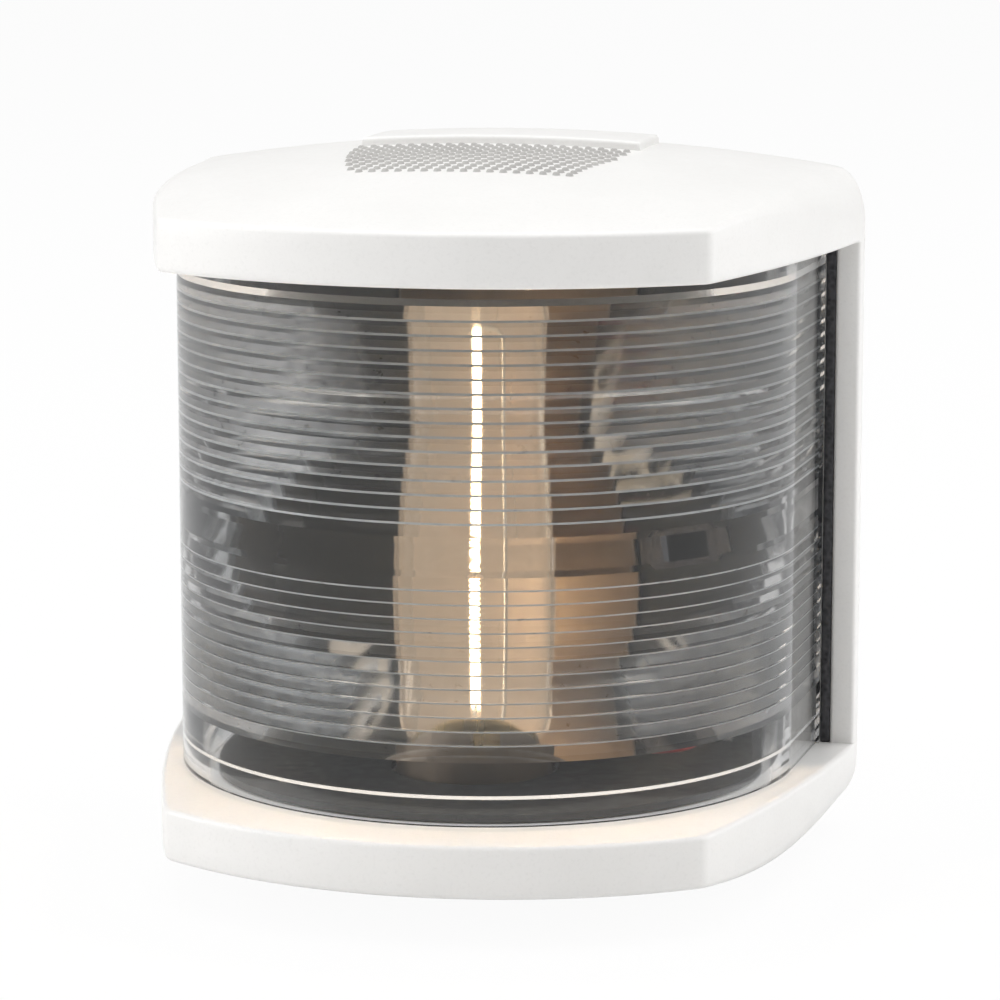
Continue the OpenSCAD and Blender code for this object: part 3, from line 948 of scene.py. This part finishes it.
ins = revolve("lamp_base_disc", round_prof([(0.0, -19.7), (6.95, -19.7), (6.6, -20.6), (6.2, -21.2), (0.0, -21.2)], 0.3), VITRITE, 0, cy, 72, 50)
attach(ins, "bulb")
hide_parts("bulb_insulator")
blobs = [revolve("b", [(0.0, -21.62), (0.7, -21.58), (1.2, -21.46), (1.48, -21.28), (1.5, -21.15), (0.0, -21.15)], SOLDER, s * 3.2, cy, 40, 70) for s in (-1, 1)]
blobs = join(blobs, "lamp_contacts")
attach(blobs, "bulb")
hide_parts("bulb_contacts")

# ------------------------------------------------------------------ materials for the CAD nodes that stay
KEEP = {
    "screw_insert": BRASS, "retaining_screw": STEEL, "screw_washer": FOAM, "back_plate": PLATE, "back_gasket": FOAM, "cable_grommet": FOAM,
    "liner": BLACK, "lamp_bracket": PLATED, "bracket_screws": STEEL, "holder_shell": PLATED, "holder_insulator": INSUL, "contact_pins": BRASS,
    "contact_springs": STEEL, "terminal_block": TERM, "terminal_clamps": BRASS, "terminal_screws": STEEL, "lead_red": RED, "lead_black": BLK_LEAD,
}
for nme, m in KEEP.items():
    o = NODES[nme]
    o.data.materials.clear()
    o.data.materials.append(m)
    bv = o.modifiers.new("ease", "BEVEL")
    bv.width = 0.00012 if nme not in ("back_plate", "liner", "terminal_block") else 0.0003
    bv.segments = 2
    bv.limit_method = "ANGLE"
    bv.angle_limit = math.radians(50)
    bv.harden_normals = False

# ------------------------------------------------------------------ stage
floor_z = H_LO[2] - 0.15
me = bpy.data.meshes.new("floor")
s = 3000.0
me.from_pydata([(-s * MM, -s * MM, floor_z * MM), (s * MM, -s * MM, floor_z * MM), (s * MM, s * MM, floor_z * MM), (-s * MM, s * MM, floor_z * MM)], [], [(0, 1, 2, 3)])
floor = bpy.data.objects.new("floor", me)
scene.collection.objects.link(floor)
fm, nt, out = mat_new("floor_pale")
n = N(nt)
p = n.add("ShaderNodeBsdfPrincipled")
n.link(n.mix((0.86, 0.86, 0.86, 1), (0.84, 0.84, 0.84, 1), n.noise(4, 3, 0.5, coords(n)).outputs["Fac"]), p.inputs["Base Color"])
p.inputs["Roughness"].default_value = 0.8
fe = n.add("ShaderNodeEmission")
fe.inputs["Strength"].default_value = 1.0
flp = n.add("ShaderNodeLightPath")
fmx = n.add("ShaderNodeMixShader")
fmul = n.add("ShaderNodeMath", operation="MULTIPLY")
fmul.inputs[1].default_value = 0.95
n.link(flp.outputs["Is Camera Ray"], fmul.inputs[0])
n.link(fmul.outputs[0], fmx.inputs[0])
n.link(p.outputs[0], fmx.inputs[1])
n.link(fe.outputs[0], fmx.inputs[2])
# as seen through the prisms the floor is painted dark, a dim emission in place of its lit colour: painted shade, like
# the unlit room in front of the lamp
floor_shade_emit = n.add("ShaderNodeEmission")
floor_shade_emit.inputs["Color"].default_value = (0.80, 0.86, 0.92, 1)
floor_shade_emit.inputs["Strength"].default_value = 0.03
fm2 = n.add("ShaderNodeMixShader")
n.link(flp.outputs["Is Transmission Ray"], fm2.inputs[0])
n.link(fmx.outputs[0], fm2.inputs[1])
n.link(floor_shade_emit.outputs[0], fm2.inputs[2])
# the floor is open from below, so that the underside can be looked at
fgeo = n.add("ShaderNodeNewGeometry")
ftr = n.add("ShaderNodeBsdfTransparent")
fm3 = n.add("ShaderNodeMixShader")
fand = n.add("ShaderNodeMath", operation="MULTIPLY")
n.link(fgeo.outputs["Backfacing"], fand.inputs[0])
n.link(flp.outputs["Is Camera Ray"], fand.inputs[1])
n.link(fand.outputs[0], fm3.inputs[0])
n.link(fm2.outputs[0], fm3.inputs[1])
n.link(ftr.outputs[0], fm3.inputs[2])
n.link(fm3.outputs[0], out.inputs[0])
me.materials.append(fm)

# a black card close behind the part, seen only through the lens, so that its open holes don't show the bright backdrop:
# painted shade, a dark sheet that camera, lamps and bounces don't see
cm, nt, out = mat_new("card_painted_shade")
n = N(nt)
p = n.add("ShaderNodeBsdfPrincipled")
n.link(n.mix((0.010, 0.011, 0.012, 1), (0.014, 0.015, 0.016, 1), n.noise(60, 3, 0.5, coords(n)).outputs["Fac"]), p.inputs["Base Color"])
p.inputs["Roughness"].default_value = 0.9
n.link(p.outputs[0], out.inputs[0])
me = bpy.data.meshes.new("card")
me.from_pydata([(-0.034, 0.002, -0.034), (0.034, 0.002, -0.034), (0.034, 0.002, 0.034), (-0.034, 0.002, 0.034)], [], [(0, 1, 2, 3)])
card = bpy.data.objects.new("card", me)
scene.collection.objects.link(card)
me.materials.append(cm)
card.visible_camera = False
card.visible_shadow = False
card.visible_diffuse = False
card.visible_glossy = False

world = bpy.data.worlds.new("studio")
scene.world = world
world.use_nodes = True
nt = world.node_tree
nt.nodes.clear()
n = N(nt)
wo = n.add("ShaderNodeOutputWorld")
bg = n.add("ShaderNodeBackground")
bg.inputs["Color"].default_value = (1, 1, 1, 1)
bg.inputs["Strength"].default_value = 0.42
bc = n.add("ShaderNodeBackground")
bc.inputs["Color"].default_value = (1, 1, 1, 1)
bc.inputs["Strength"].default_value = 1.0
lp = n.add("ShaderNodeLightPath")
mx = n.add("ShaderNodeMixShader")
n.link(lp.outputs["Is Camera Ray"], mx.inputs[0])
bt = n.add("ShaderNodeMath", operation="MULTIPLY_ADD")
bt.inputs[1].default_value = -0.37
bt.inputs[2].default_value = 0.42
n.link(lp.outputs["Is Transmission Ray"], bt.inputs[0])
n.link(bt.outputs[0], bg.inputs["Strength"])
n.link(bg.outputs[0], mx.inputs[1])
n.link(bc.outputs[0], mx.inputs[2])
n.link(mx.outputs[0], wo.inputs[0])


def area(name, loc, target, size, power, col=(1, 1, 1)):
    l = bpy.data.lights.new(name, "AREA")
    l.shape = "RECTANGLE"
    l.size, l.size_y = size
    l.energy = power
    l.color = col
    o = bpy.data.objects.new(name, l)
    scene.collection.objects.link(o)
    o.location = loc
    d = Vector(target) - Vector(loc)
    o.rotation_euler = d.to_track_quat("-Z", "Y").to_euler()
    return o


def softbox(name, az, el, dist, size, radiance, col=(1, 1, 1)):
    """az from the front (-Y) towards +X, in degrees."""
    a, e = math.radians(az), math.radians(el)
    c = Vector((0.0, -0.03, 0.0))
    loc = c + Vector((math.sin(a) * math.cos(e), -math.cos(a) * math.cos(e), math.sin(e))) * dist
    o = area(name, loc, c, size, radiance * math.pi * size[0] * size[1], col)
    o.visible_transmission = False
    return o


softbox("left_soft", -72, 6, 0.9, (0.60, 1.3), 2.9)
softbox("right_soft", 112, 6, 0.9, (0.70, 1.3), 2.2)
softbox("top_soft", 0, 88, 0.9, (1.1, 1.1), 1.9)

pl = bpy.data.lights.new("lamp_glow", "POINT")
pl.energy = 0.022
pl.color = (1.0, 0.72, 0.42)
pl.shadow_soft_size = 0.003
po = bpy.data.objects.new("lamp_glow", pl)
scene.collection.objects.link(po)
po.location = (0, cy * MM, 0.5 * MM)
po.visible_camera = po.visible_glossy = po.visible_transmission = False

cam = bpy.data.cameras.new("cam")
cam.sensor_width = 36.0
cam.lens = 141.4
cam.clip_start = 0.01
co = bpy.data.objects.new("cam", cam)
scene.collection.objects.link(co)
co.location = (0.08524, -0.44347, 0.07457)
tgt = Vector((0.001896, -0.026, 0.001122))
co.rotation_euler = (tgt - Vector(co.location)).to_track_quat("-Z", "Y").to_euler()
scene.camera = co
scene.view_settings.view_transform = "Standard"
scene.view_settings.look = "None"
scene.cycles.max_bounces = 24
scene.cycles.transmission_bounces = 24
scene.cycles.transparent_max_bounces = 24
scene.cycles.glossy_bounces = 8
scene.cycles.diffuse_bounces = 4
scene.cycles.sample_clamp_indirect = 6.0
scene.cycles.use_denoising = True
